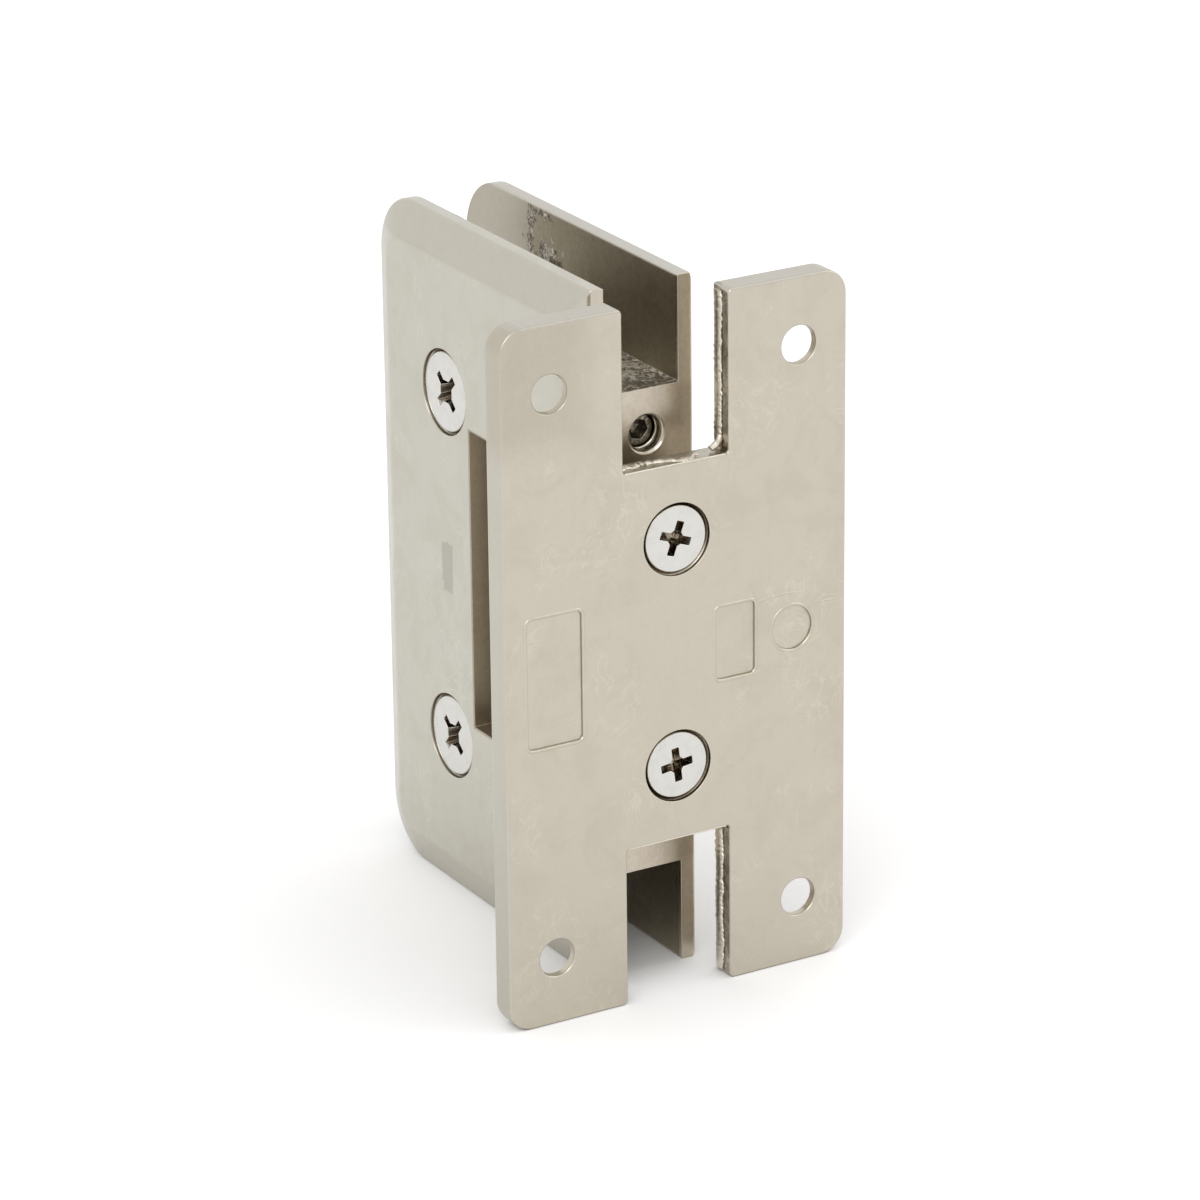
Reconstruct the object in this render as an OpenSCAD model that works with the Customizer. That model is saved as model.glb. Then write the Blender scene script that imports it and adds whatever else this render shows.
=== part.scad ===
// Wall-mounted glass door hinge, 90 degrees each way, with a roller detent.
// The origin is the centre of the wall plate's wall face. +Y points from the
// wall into the glass clamp, +Z is up along the pivot pin, +X is to the right
// for someone who looks from the wall towards the glass.

/* [Hinge] */
// Height of the wall plate and of the glass clamp
hinge_h = 89; // [86:0.5:100]
// Gap between the wall plate and the clamp when the door is closed
door_gap = 4; // [3:0.25:5]

/* [Wall plate] */
// Width of the wall plate
plate_w = 47.6; // [46:0.2:56]
// Thickness of the wall plate
plate_t = 4; // [3.5:0.25:5]
// Radius of the plate's four outer corners
plate_corner_r = 3.2; // [2:0.2:5]
// Rounding of the plate's edges on the room side, also in the notches
plate_edge_r = 0.9; // [0.3:0.1:1.2]
// Width of the notch in the top and the bottom of the plate
notch_w = 14.6; // [10:0.2:16]
// Depth of each notch
notch_depth = 20.5; // [14:0.5:23]
// Radius in the inner corners of each notch
notch_root_r = 0.5; // [0.25:0.25:2]
// Radius of the leg corners beside each notch
leg_tip_r = 0.7; // [0.4:0.1:1.5]

/* [Wall screw holes] */
// Diameter of the four wall screw holes
wall_hole_d = 4.8; // [4.2:0.1:5.4]
// Distance of the hole centres from the plate's sides
wall_hole_inset_x = 6.65; // [6.4:0.05:7.4]
// Distance of the hole centres from the plate's ends
wall_hole_inset_z = 8.65; // [7.5:0.05:11]
// Straight stretch of each hole, from the wall face to the countersink
wall_hole_land = 1.1; // [0.8:0.1:2]

/* [Bare marking fields] */
// Depth of the sunk fields on the wall face
field_depth = 0.25; // [0.1:0.05:0.5]
// Width of the tall field
tall_field_w = 7.7; // [5:0.1:9]
// Height of the tall field
tall_field_h = 16.7; // [10:0.1:22]
// Distance of the tall field from the plate's side
tall_field_inset = 3; // [2:0.1:4]
// Width of the short field
short_field_w = 5.7; // [4:0.1:6]
// Height of the short field
short_field_h = 9.5; // [6:0.5:12]
// Distance of the short field from the plate's side
short_field_inset = 12.8; // [11:0.1:14]
// Diameter of the round field
round_field_d = 5.8; // [3:0.1:7]
// Distance of the round field's centre from the plate's side
round_field_inset = 7.6; // [5:0.1:8]

/* [Pivot block] */
// Distance from the plate to the pin's axis
pin_reach = 20; // [19.5:0.25:22]
// Height of the pivot block
block_h = 37.4; // [36:0.2:40]
// Thickness of the pivot block, also the diameter of its round end
block_t = 16.6; // [15:0.2:17]
// Diameter of the two screws that hold the block to the plate
block_screw_d = 5; // [4:0.5:5]
// Length of the block screws, head included
block_screw_l = 12; // [10:0.5:14]
// Diameter of their heads' recess in the wall face
block_screw_csk_d = 9.2; // [9:0.1:10]
// Distance of the screws from the block's ends
block_screw_inset = 4.15; // [4:0.05:4.5]
// Diameter of the detent bores
plunger_bore_d = 8.1; // [7.6:0.1:8.5]
// Distance between the detent bores
plunger_span = 12; // [11:0.25:13]

/* [Pin and bearings] */
// Diameter of the pivot pin
pin_d = 8; // [7:0.25:8.5]
// Outer diameter of the bushings
bushing_d = 11; // [10.5:0.25:12]
// Length of each bushing
bushing_l = 7; // [5:0.25:7.5]
// Outer diameter of the thrust washers
washer_d = 15; // [13:0.5:16]
// Thickness of the thrust washers
washer_t = 0.8; // [0.5:0.1:1.5]
// Depth of the detent flats on the pin
detent_flat = 0.25; // [0.15:0.05:0.3]
// Depth of the flat that the set screw bears on
lock_flat = 0.6; // [0.4:0.1:1]
// Diameter of the set screw
set_screw_d = 5; // [4:0.5:6]
// Length of the set screw
set_screw_l = 11; // [7:0.5:11]
// How far the set screw stands to the right of the pin
set_screw_x = 0.7; // [-1:0.1:1]

/* [Detent] */
// Diameter of the detent rollers
roller_d = 5; // [4:0.1:5.2]
// Length of the detent rollers
roller_l = 6; // [4:0.25:6]
// Length of each plunger, from its nose to its tail
plunger_l = 7.5; // [6.5:0.25:8]
// Depth of the spring's seat in the plunger's tail
spring_seat = 3.5; // [2:0.25:3.6]
// Outer diameter of the detent springs
spring_d = 6.4; // [5.5:0.1:6.5]
// Diameter of the spring wire
wire_d = 0.9; // [0.7:0.05:1]
// Number of turns of each spring
spring_turns = 7; // [5:1:8]

/* [Glass clamp] */
// Length of the clamp, from its hinge side to its far edge
clamp_l = 51.7; // [50:0.1:62]
// Space between the clamp's plates for the glass and its gaskets
glass_space = 10.2; // [9.6:0.2:12]
// Thickness of the cover plate and of the rear plate
clamp_plate_t = 3.8; // [3.4:0.1:4.6]
// Thickness of those plates at their edges
clamp_edge_t = 2; // [1.2:0.1:2.6]
// Width of the bevel round the plates
bevel_w = 4.6; // [3:0.2:5.4]
// Radius of the far corners
clamp_corner_r = 8; // [6:0.5:10]
// Height of the core between the plates
core_h = 62.2; // [60:0.2:66]
// Width of the core behind the pocket, which the clamp screws enter
core_web = 12.4; // [11:0.2:14]
// Distance from the block's round end to the pocket's end wall
pocket_clear = 2.3; // [1.5:0.1:3.5]
// Diameter of the clamp screws
clamp_screw_d = 6; // [5:0.5:6]
// Length of the clamp screws, head included
clamp_screw_l = 12; // [9:0.5:13]
// Diameter of their heads' recess in the cover plate
clamp_screw_csk_d = 11; // [10.6:0.1:11.6]
// Distance of the clamp screws from the core's ends
clamp_screw_inset = 8.2; // [6:0.1:9]

/* [Hidden] */
$fn = 72;

// Clearances, each one on the radius or on one side
running_gap = 0.03;
seat_gap = 0.02;
washer_play = 0.05;
roller_gap = 0.05;
head_play = 0.4;
head_sink = 0.3;
// How far cutting bodies run past the faces that they cut
past = 1;

// Places along Y
pin_y = plate_t + pin_reach;
clamp_y = plate_t + door_gap;
pocket_end_y = pin_y + block_t / 2 + pocket_clear;
core_end_y = pocket_end_y + core_web;
clamp_screw_y = (pocket_end_y + core_end_y) / 2;
roller_y = pin_y - pin_d / 2 - roller_gap - roller_d / 2;
plunger_tail_y = roller_y - plunger_l;

// Places along Z
pocket_h = block_h + 2 * (washer_t + 2 * washer_play);
knuckle_z = (core_h + pocket_h) / 4;
pin_floor = 2;
pin_top_sink = 0.5;
pin_bottom_z = -core_h / 2 + pin_floor;
pin_top_z = core_h / 2 - pin_top_sink;
wall_hole_x = plate_w / 2 - wall_hole_inset_x;
wall_hole_z = hinge_h / 2 - wall_hole_inset_z;
block_screw_z = block_h / 2 - block_screw_inset;
clamp_screw_z = core_h / 2 - clamp_screw_inset;

// Places along X
inner_x = glass_space / 2;
outer_x = inner_x + clamp_plate_t;

// Small details of the screws, springs and fields
screw_hole_play = 0.2;
recess_wall = 0.5;
head_rim = recess_wall + head_play - seat_gap - head_sink;
tap_depth_spare = 1;
block_cross = [4.4, 1.1, 1.9];
block_cross_turn = [20, -7];
clamp_cross = [5.4, 1.3, 2.4];
clamp_cross_turn = [45, 40];
socket_af = 2.5;
socket_depth = 2.4;
set_screw_tip = 0.5;
mouth_chamfer = 0.1;
field_corner_r = 0.8;
roller_chamfer = 0.3;
pin_chamfer = 0.5;
wire_sides = 8;
turn_steps = 12;
closed_pitch = 1.05 * wire_d;

plated = [0.80, 0.77, 0.70];
bright = [0.90, 0.89, 0.86];
steel = [0.62, 0.62, 0.63];
bronze = [0.72, 0.56, 0.32];
nylon = [0.93, 0.92, 0.88];

// Turns a shape that stands along Z so that it points along +Y from height y
module along_y(y = 0) {
    translate([0, y, 0]) rotate([-90, 0, 0]) children();
}

// Turns a shape that stands along Z so that it points along +X from place x
module along_x(x = 0) {
    translate([x, 0, 0]) rotate([0, 90, 0]) children();
}

// The four mirror images about the middle of the plate
module four_ways() {
    for (mx = [0, 1], mz = [0, 1])
        mirror([mx, 0, 0]) mirror([0, 0, mz]) children();
}

// What is cut off a square corner at [0, 0] to round it
module corner_waste(r) {
    difference() {
        translate([-past, -past]) square(r + past);
        translate([r, r]) circle(r);
    }
}

// Section of the waste that rounds an edge whose faces meet at [a, b]
module edge_waste(a, b, r) {
    difference() {
        translate([a - r, b - r]) square(r + past);
        translate([a - r, b - r]) circle(r);
    }
}

// Rectangle with round corners, centred
module round_rect(w, h, r) {
    difference() {
        square([w, h], center = true);
        for (mx = [0, 1], my = [0, 1])
            mirror([mx, 0]) mirror([0, my]) translate([-w / 2, -h / 2]) corner_waste(r);
    }
}

// Countersunk hole, its mouth at z = 0 and its point upwards. A short straight
// wall leads to the cone.
module countersunk_hole(hole_d, mouth_d, depth) {
    cone_h = (mouth_d - hole_d) / 2;
    translate([0, 0, -past]) cylinder(d = mouth_d, h = past + recess_wall);
    translate([0, 0, recess_wall]) cylinder(d1 = mouth_d, d2 = hole_d, h = cone_h);
    cylinder(d = hole_d, h = depth);
}

// Countersunk screw, its head's face at z = 0, with a crossed recess. The
// cone under the head's rim lies on the cone of the hole.
module countersunk_screw(d, head_d, l, cross, turn) {
    cone_h = (head_d - d) / 2;
    neck_z = head_rim + cone_h;
    point = d / 8;
    difference() {
        union() {
            cylinder(d = head_d, h = head_rim);
            translate([0, 0, head_rim]) cylinder(d1 = head_d, d2 = d, h = cone_h);
            translate([0, 0, neck_z]) cylinder(d = d, h = l - neck_z - point);
            translate([0, 0, l - point]) cylinder(d1 = d, d2 = d - 2 * point, h = point);
        }
        rotate(turn) translate([0, 0, cross[2] / 2 - past / 2])
            for (a = [0, 90])
                rotate(a) cube([cross[0], cross[1], cross[2] + past], center = true);
    }
}

// Outline of the wall plate, an H on its side legs
module plate_outline() {
    difference() {
        round_rect(plate_w, hinge_h, plate_corner_r);
        for (m = [0, 1]) mirror([0, m]) {
            translate([0, hinge_h / 2]) notch_outline();
            for (s = [0, 1]) mirror([s, 0])
                translate([notch_w / 2, hinge_h / 2]) mirror([0, 1]) corner_waste(leg_tip_r);
        }
    }
}

// The notch hangs down from y = 0, with round inner corners
module notch_outline() {
    difference() {
        translate([-notch_w / 2, -notch_depth]) square([notch_w, notch_depth + past]);
        for (s = [0, 1]) mirror([s, 0])
            translate([-notch_w / 2, -notch_depth]) intersection() {
                corner_waste(notch_root_r);
                square(notch_root_r);
            }
    }
}

// Waste that rounds the room side of one quarter of the plate's edges: its
// side, its corner, its end and its part of the notch
module plate_edge_quarter() {
    side_h = hinge_h / 2 - plate_corner_r;
    end_w = plate_w / 2 - plate_corner_r;
    notch_floor = hinge_h / 2 - notch_depth;
    linear_extrude(side_h) edge_waste(plate_w / 2, plate_t, plate_edge_r);
    translate([end_w, 0, side_h]) mirror([0, 0, 1]) along_y()
        rotate_extrude(angle = 90) edge_waste(plate_corner_r, plate_t, plate_edge_r);
    translate([notch_w / 2 - past, 0, 0]) rotate([90, 0, 90])
        linear_extrude(end_w - notch_w / 2 + past) edge_waste(plate_t, hinge_h / 2, plate_edge_r);
    translate([0, 0, notch_floor]) linear_extrude(notch_depth + past)
        mirror([1, 0]) edge_waste(-notch_w / 2, plate_t, plate_edge_r);
    rotate([90, 0, 90]) linear_extrude(notch_w / 2) edge_waste(plate_t, notch_floor, plate_edge_r);
}

// Shallow fields on the wall face, left bare
module marking_fields() {
    side = plate_w / 2;
    along_y(-past) linear_extrude(field_depth + past) {
        translate([-side + tall_field_inset + tall_field_w / 2, 0])
            round_rect(tall_field_w, tall_field_h, field_corner_r);
        translate([side - short_field_inset - short_field_w / 2, 0])
            round_rect(short_field_w, short_field_h, field_corner_r);
        translate([side - round_field_inset, 0]) circle(d = round_field_d);
    }
}

module wall_plate() {
    color(plated) difference() {
        along_y() linear_extrude(plate_t) plate_outline();
        four_ways() plate_edge_quarter();
        four_ways() translate([wall_hole_x, 0, wall_hole_z]) wall_hole();
        for (s = [-1, 1]) translate([0, 0, s * block_screw_z])
            along_y() countersunk_hole(block_screw_d + 2 * screw_hole_play,
                block_screw_csk_d, plate_t + past);
        marking_fields();
    }
}

// Wall screw hole, countersunk from the room side
module wall_hole() {
    cone_h = plate_t - wall_hole_land;
    along_y(-past) cylinder(d = wall_hole_d, h = plate_t + 2 * past);
    along_y(wall_hole_land) cylinder(d1 = wall_hole_d, d2 = wall_hole_d + 2 * cone_h, h = cone_h);
    along_y(plate_t) cylinder(d = wall_hole_d + 2 * cone_h, h = past);
}

// The block turns round the pin's axis at its far end and is bored from the
// plate's side for the detent, so the plate closes those bores
module pivot_block() {
    tap_end_y = head_sink + block_screw_l + tap_depth_spare;
    color(plated) difference() {
        linear_extrude(block_h, center = true) {
            translate([-block_t / 2, plate_t]) square([block_t, pin_reach]);
            translate([0, pin_y]) circle(d = block_t);
        }
        translate([0, pin_y, 0]) cylinder(d = bushing_d, h = block_h + 2 * past, center = true);
        for (s = [-1, 1]) {
            translate([0, 0, s * plunger_span / 2])
                along_y(plate_t - past) cylinder(d = plunger_bore_d, h = pin_reach - pin_d / 4);
            translate([0, 0, s * block_screw_z])
                along_y(plate_t - past) cylinder(d = block_screw_d, h = tap_end_y - plate_t + past);
        }
    }
}

module block_screw(s) {
    turn = block_cross_turn[s > 0 ? 0 : 1];
    color(bright) translate([0, 0, s * block_screw_z]) along_y(head_sink)
        countersunk_screw(block_screw_d - 2 * seat_gap, block_screw_csk_d - 2 * head_play,
            block_screw_l, block_cross, turn);
}

module bushing(s) {
    color(bronze) translate([0, pin_y, s * (block_h - bushing_l) / 2]) difference() {
        cylinder(d = bushing_d - 2 * seat_gap, h = bushing_l, center = true);
        cylinder(d = pin_d + 2 * running_gap, h = bushing_l + 2 * past, center = true);
    }
}

module thrust_washer(s) {
    color(nylon) translate([0, pin_y, s * (block_h / 2 + washer_play + washer_t / 2)]) difference() {
        cylinder(d = washer_d, h = washer_t, center = true);
        cylinder(d = pin_d + 6 * running_gap, h = washer_t + 2 * past, center = true);
    }
}

// Height of a spring's wire after a number of turns, with closed end turns
function wire_rise(turn, l) =
    let (open_pitch = (l - wire_d - 2 * closed_pitch) / (spring_turns - 2),
        first = min(turn, 1),
        middle = min(max(turn - 1, 0), spring_turns - 2),
        last = max(turn - spring_turns + 1, 0))
    wire_d / 2 + (first + last) * closed_pitch + middle * open_pitch;

// Compression spring along Z from z = 0 to z = l
module coil_spring(l) {
    steps = spring_turns * turn_steps;
    coil_r = (spring_d - wire_d) / 2;
    rings = [for (i = [0:steps])
        let (a = 360 * i / turn_steps, rise = wire_rise(i / turn_steps, l))
        for (k = [0:wire_sides - 1])
            let (b = 360 * k / wire_sides, r = coil_r + wire_d / 2 * cos(b))
            [r * cos(a), r * sin(a), rise + wire_d / 2 * sin(b)]];
    sides = [for (i = [0:steps - 1], k = [0:wire_sides - 1])
        let (n = (k + 1) % wire_sides, lower = i * wire_sides, upper = lower + wire_sides)
        [lower + k, lower + n, upper + n, upper + k]];
    start = [for (k = [wire_sides - 1:-1:0]) k];
    finish = [for (k = [0:wire_sides - 1]) steps * wire_sides + k];
    polyhedron(points = rings, faces = concat(sides, [start, finish]), convexity = 10);
}

module detent_spring(s) {
    color(steel) translate([0, 0, s * plunger_span / 2]) along_y(plate_t + seat_gap)
        coil_spring(plunger_tail_y + spring_seat - plate_t - 2 * seat_gap);
}

// Cup for the spring at the tail, trough for the roller across the nose
module detent_plunger(s) {
    color(bronze) translate([0, 0, s * plunger_span / 2]) difference() {
        along_y(plunger_tail_y) cylinder(d = plunger_bore_d - 2 * roller_gap, h = plunger_l);
        along_y(plunger_tail_y - past) cylinder(d = spring_d + 4 * roller_gap, h = spring_seat + past);
        translate([0, roller_y, 0])
            cylinder(d = roller_d + 2 * roller_gap, h = plunger_bore_d + 2 * past, center = true);
    }
}

module detent_roller(s) {
    small_r = roller_d / 2 - roller_chamfer;
    color(steel) translate([0, roller_y, s * plunger_span / 2]) rotate_extrude()
        polygon([[0, -roller_l / 2], [small_r, -roller_l / 2],
            [roller_d / 2, -roller_l / 2 + roller_chamfer], [roller_d / 2, roller_l / 2 - roller_chamfer],
            [small_r, roller_l / 2], [0, roller_l / 2]]);
}

// One bevelled plate of the clamp, lying on z = 0 with its hinge side at
// x = 0. The bevel is mitred at the hinge side and runs round the far corners.
module clamp_slab() {
    r = clamp_corner_r;
    difference() {
        intersection() {
            rotate([90, 0, 0]) linear_extrude(hinge_h, center = true)
                bevel_section(0, clamp_l);
            rotate([90, 0, 90]) linear_extrude(clamp_l)
                bevel_section(-hinge_h / 2, hinge_h / 2);
        }
        for (s = [0, 1]) mirror([0, s, 0])
            translate([clamp_l - r, hinge_h / 2 - r, -past])
                cube([r + past, r + past, clamp_plate_t + 2 * past]);
    }
    for (s = [0, 1]) mirror([0, s, 0])
        translate([clamp_l - r, hinge_h / 2 - r, 0]) rotate_extrude(angle = 90)
            polygon([[0, 0], [r, 0], [r, clamp_edge_t], [r - bevel_w, clamp_plate_t], [0, clamp_plate_t]]);
}

// Section of a plate with a bevel at both ends
module bevel_section(low, high) {
    polygon([[low, 0], [high, 0], [high, clamp_edge_t], [high - bevel_w, clamp_plate_t],
        [low + bevel_w, clamp_plate_t], [low, clamp_edge_t]]);
}

// Places a slab so that it faces +X, its inner face on the glass space
module on_right() {
    translate([inner_x, clamp_y, 0]) rotate([90, 0, 90]) children();
}

// Opening for the pivot block, right through both plates
module pocket() {
    l = pocket_end_y - clamp_y + past;
    translate([-outer_x - past, clamp_y - past, -pocket_h / 2])
        cube([2 * (outer_x + past), l, pocket_h]);
}

// Rear plate and core, one casting. The pin's bore is open at the top and
// blind at the bottom.
module clamp_body() {
    screw_end_x = -outer_x + head_sink + clamp_screw_l + tap_depth_spare;
    color(plated) difference() {
        union() {
            on_right() clamp_slab();
            translate([-inner_x, clamp_y, -core_h / 2])
                cube([glass_space + past, core_end_y - clamp_y, core_h]);
        }
        pocket();
        translate([0, pin_y, pin_bottom_z])
            cylinder(d = pin_d + 2 * seat_gap, h = core_h / 2 - pin_bottom_z + past);
        translate([set_screw_x, 0, knuckle_z]) {
            along_y(clamp_y - past) cylinder(d = set_screw_d, h = pin_y - clamp_y + past);
            along_y(clamp_y) cylinder(d1 = set_screw_d + 2 * mouth_chamfer, d2 = set_screw_d,
                h = mouth_chamfer);
            along_y(clamp_y - past) cylinder(d = set_screw_d + 2 * mouth_chamfer, h = past);
        }
        for (s = [-1, 1]) translate([0, clamp_screw_y, s * clamp_screw_z])
            along_x(-inner_x - past) cylinder(d = clamp_screw_d, h = screw_end_x + inner_x + past);
    }
}

module cover_plate() {
    color(plated) difference() {
        mirror([1, 0, 0]) on_right() clamp_slab();
        pocket();
        for (s = [-1, 1]) translate([0, clamp_screw_y, s * clamp_screw_z])
            along_x(-outer_x) countersunk_hole(clamp_screw_d + 2 * screw_hole_play,
                clamp_screw_csk_d, clamp_plate_t + past);
    }
}

module clamp_screw(s) {
    turn = clamp_cross_turn[s > 0 ? 0 : 1];
    color(bright) translate([0, clamp_screw_y, s * clamp_screw_z]) along_x(-outer_x + head_sink)
        countersunk_screw(clamp_screw_d - 2 * seat_gap, clamp_screw_csk_d - 2 * head_play,
            clamp_screw_l, clamp_cross, turn);
}

// The pin has three detent flats at each roller, for the door closed and open
// to either side, and one flat that the set screw bears on
module pivot_pin() {
    pin_r = pin_d / 2;
    flat_l = roller_l + 1;
    color(steel) translate([0, pin_y, 0]) difference() {
        union() {
            translate([0, 0, pin_bottom_z + pin_chamfer])
                cylinder(d = pin_d, h = pin_top_z - pin_bottom_z - 2 * pin_chamfer);
            translate([0, 0, pin_bottom_z])
                cylinder(r1 = pin_r - pin_chamfer, r2 = pin_r, h = pin_chamfer);
            translate([0, 0, pin_top_z - pin_chamfer])
                cylinder(r1 = pin_r, r2 = pin_r - pin_chamfer, h = pin_chamfer);
        }
        for (s = [-1, 1], turn = [-90, 0, 90])
            rotate(turn) translate([-pin_r, -pin_r - past, s * plunger_span / 2 - flat_l / 2])
                cube([pin_d, past + detent_flat, flat_l]);
        translate([-pin_r, -pin_r - past, knuckle_z - set_screw_d / 2 - past / 2])
            cube([pin_d, past + lock_flat, set_screw_d + past]);
    }
}

module pin_set_screw() {
    tip_y = pin_y - pin_d / 2 + lock_flat;
    r = set_screw_d / 2 - seat_gap;
    at = [set_screw_x, 0, knuckle_z];
    color(steel) translate(at) along_y(tip_y - set_screw_l) difference() {
        union() {
            cylinder(r = r, h = set_screw_l - set_screw_tip);
            translate([0, 0, set_screw_l - set_screw_tip])
                cylinder(r1 = r, r2 = r - set_screw_tip, h = set_screw_tip);
        }
        translate([0, 0, -past]) cylinder(d = socket_af / cos(30), h = socket_depth + past, $fn = 6);
    }
}

wall_plate();
pivot_block();
block_screw(1);  // block_screw_upper
block_screw(-1);  // block_screw_lower
bushing(1);  // bushing_upper
bushing(-1);  // bushing_lower
thrust_washer(1);  // thrust_washer_upper
thrust_washer(-1);  // thrust_washer_lower
detent_spring(1);  // detent_spring_upper
detent_spring(-1);  // detent_spring_lower
detent_plunger(1);  // detent_plunger_upper
detent_plunger(-1);  // detent_plunger_lower
detent_roller(1);  // detent_roller_upper
detent_roller(-1);  // detent_roller_lower
clamp_body();
cover_plate();
clamp_screw(1);  // clamp_screw_upper
clamp_screw(-1);  // clamp_screw_lower
pivot_pin();
pin_set_screw();
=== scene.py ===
import math

import bmesh
import bpy
from mathutils import Matrix, Vector


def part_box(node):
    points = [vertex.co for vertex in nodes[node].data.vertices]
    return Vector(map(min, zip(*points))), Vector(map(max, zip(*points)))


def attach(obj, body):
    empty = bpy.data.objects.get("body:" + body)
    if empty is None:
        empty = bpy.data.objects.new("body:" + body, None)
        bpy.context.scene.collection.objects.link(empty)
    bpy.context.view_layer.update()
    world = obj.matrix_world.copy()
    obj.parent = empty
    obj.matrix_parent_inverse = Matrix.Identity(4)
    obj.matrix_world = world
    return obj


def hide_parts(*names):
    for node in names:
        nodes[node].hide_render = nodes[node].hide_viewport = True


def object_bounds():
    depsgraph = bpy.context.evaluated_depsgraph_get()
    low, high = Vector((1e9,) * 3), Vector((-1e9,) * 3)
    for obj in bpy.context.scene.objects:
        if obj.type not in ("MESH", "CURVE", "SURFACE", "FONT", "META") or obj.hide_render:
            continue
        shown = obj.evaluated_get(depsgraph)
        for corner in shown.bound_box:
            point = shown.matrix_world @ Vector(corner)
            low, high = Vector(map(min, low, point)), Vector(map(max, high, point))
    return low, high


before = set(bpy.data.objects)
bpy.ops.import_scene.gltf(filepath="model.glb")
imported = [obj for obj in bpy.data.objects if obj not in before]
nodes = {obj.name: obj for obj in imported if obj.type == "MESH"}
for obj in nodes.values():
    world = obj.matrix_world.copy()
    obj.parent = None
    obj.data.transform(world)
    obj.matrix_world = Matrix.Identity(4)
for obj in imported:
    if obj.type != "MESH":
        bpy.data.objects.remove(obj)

cad_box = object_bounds()


# Camera
# The photograph's view: a long lens two thirds of a metre from the hinge, above
# it and to the left of the wall plate's front. The angles, distance and lens
# were solved from measured points of the hinge.
MM = 0.001
scene = bpy.context.scene


def linked(name, data):
    """New object in the scene."""
    thing = bpy.data.objects.new(name, data)
    scene.collection.objects.link(thing)
    return thing


azimuth, elevation, roll = (math.radians(angle) for angle in (-30.2296, 20.9317, -0.66626))
distance, aim_left, aim_up = 670.573 * MM, 9.31 * MM, 6.40 * MM
away = Vector((math.sin(azimuth) * math.cos(elevation), -math.cos(azimuth) * math.cos(elevation),
               math.sin(elevation)))
level_right = (-away).cross(Vector((0, 0, 1))).normalized()
level_up = level_right.cross(-away)
view_right = level_right * math.cos(roll) + level_up * math.sin(roll)
view_up = level_up * math.cos(roll) - level_right * math.sin(roll)
lens = bpy.data.cameras.new("photo_camera")
lens.sensor_width = 36
lens.lens = 168.006
lens.clip_start = 0.05
lens.clip_end = 20
camera = linked("photo_camera", lens)
camera_axes = Matrix((view_right, view_up, away)).transposed().to_4x4()
camera_place = away * distance - view_right * aim_left + view_up * aim_up
camera.matrix_world = Matrix.Translation(camera_place) @ camera_axes
scene.camera = camera


# Studio
# A pale floor under the hinge in a white room. Camera, reflections and glass
# see the room at full white, and two soft boxes add the light that gives the
# floor its shadow, which painted shade in the floor's glow deepens near the hinge.
def put(tree, kind, inputs=None, **settings):
    """Adds a node to a tree. inputs gives sockets a value or links them to an output."""
    node = tree.nodes.new(kind)
    for name, value in settings.items():
        setattr(node, name, value)
    for key, value in (inputs or {}).items():
        if isinstance(value, bpy.types.NodeSocket):
            tree.links.new(value, node.inputs[key])
        else:
            node.inputs[key].default_value = value
    return node


def maths(tree, operation, *values):
    """Output of a Math node."""
    return put(tree, "ShaderNodeMath", dict(enumerate(values)), operation=operation).outputs[0]


def rays_that_see_the_room(tree):
    """1 for camera, glossy and transmission rays."""
    path = put(tree, "ShaderNodeLightPath")
    seen = maths(tree, "MAXIMUM", path.outputs["Is Camera Ray"], path.outputs["Is Glossy Ray"])
    return maths(tree, "MAXIMUM", seen, path.outputs["Is Transmission Ray"])


white = (1, 1, 1, 1)
room = bpy.data.worlds.new("white_room")
room.use_nodes = True
tree = room.node_tree
tree.nodes.clear()
lit = put(tree, "ShaderNodeBackground", {"Color": white, "Strength": 0.6}).outputs[0]
seen = put(tree, "ShaderNodeBackground", {"Color": white, "Strength": 1.0}).outputs[0]
either = put(tree, "ShaderNodeMixShader", {0: rays_that_see_the_room(tree), 1: lit, 2: seen}).outputs[0]
put(tree, "ShaderNodeOutputWorld", {"Surface": either})
scene.world = room
scene.view_settings.view_transform = "Standard"


def principled(name, **inputs):
    """New material with one Principled shader: the material, its tree and the shader."""
    material = bpy.data.materials.new(name)
    material.use_nodes = True
    tree = material.node_tree
    tree.nodes.clear()
    shader = put(tree, "ShaderNodeBsdfPrincipled", inputs)
    put(tree, "ShaderNodeOutputMaterial", {"Surface": shader.outputs[0]})
    return material, tree, shader


def set_down(name, form):
    """Object from a finished form, which is freed."""
    mesh = bpy.data.meshes.new(name)
    form.to_mesh(mesh)
    form.free()
    return linked(name, mesh)


# The floor glows, a little more for the camera; its glow is dimmed where the hinge is near, a painted shadow.
glow_for_all, glow_for_camera, shade_reach = 0.36, 0.14, 0.08
pale_floor, tree, shader = principled("pale_floor", Roughness=0.9, **{
    "Base Color": (0.86, 0.86, 0.86, 1), "Specular IOR Level": 0.1, "Emission Color": white})
painted_shadow_factor = put(tree, "ShaderNodeAmbientOcclusion", {"Distance": shade_reach}, samples=8).outputs["AO"]
camera_ray = put(tree, "ShaderNodeLightPath").outputs["Is Camera Ray"]
glow = maths(tree, "MULTIPLY", rays_that_see_the_room(tree), glow_for_all)
glow = maths(tree, "MULTIPLY_ADD", camera_ray, glow_for_camera, glow)
tree.links.new(maths(tree, "MULTIPLY", glow, painted_shadow_factor), shader.inputs["Emission Strength"])
form = bmesh.new()
bmesh.ops.create_circle(form, cap_ends=True, segments=96, radius=2.5,
                        matrix=Matrix.Translation((0, 0, cad_box[0].z)))
floor = set_down("floor", form)
floor.data.materials.append(pale_floor)

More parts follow.
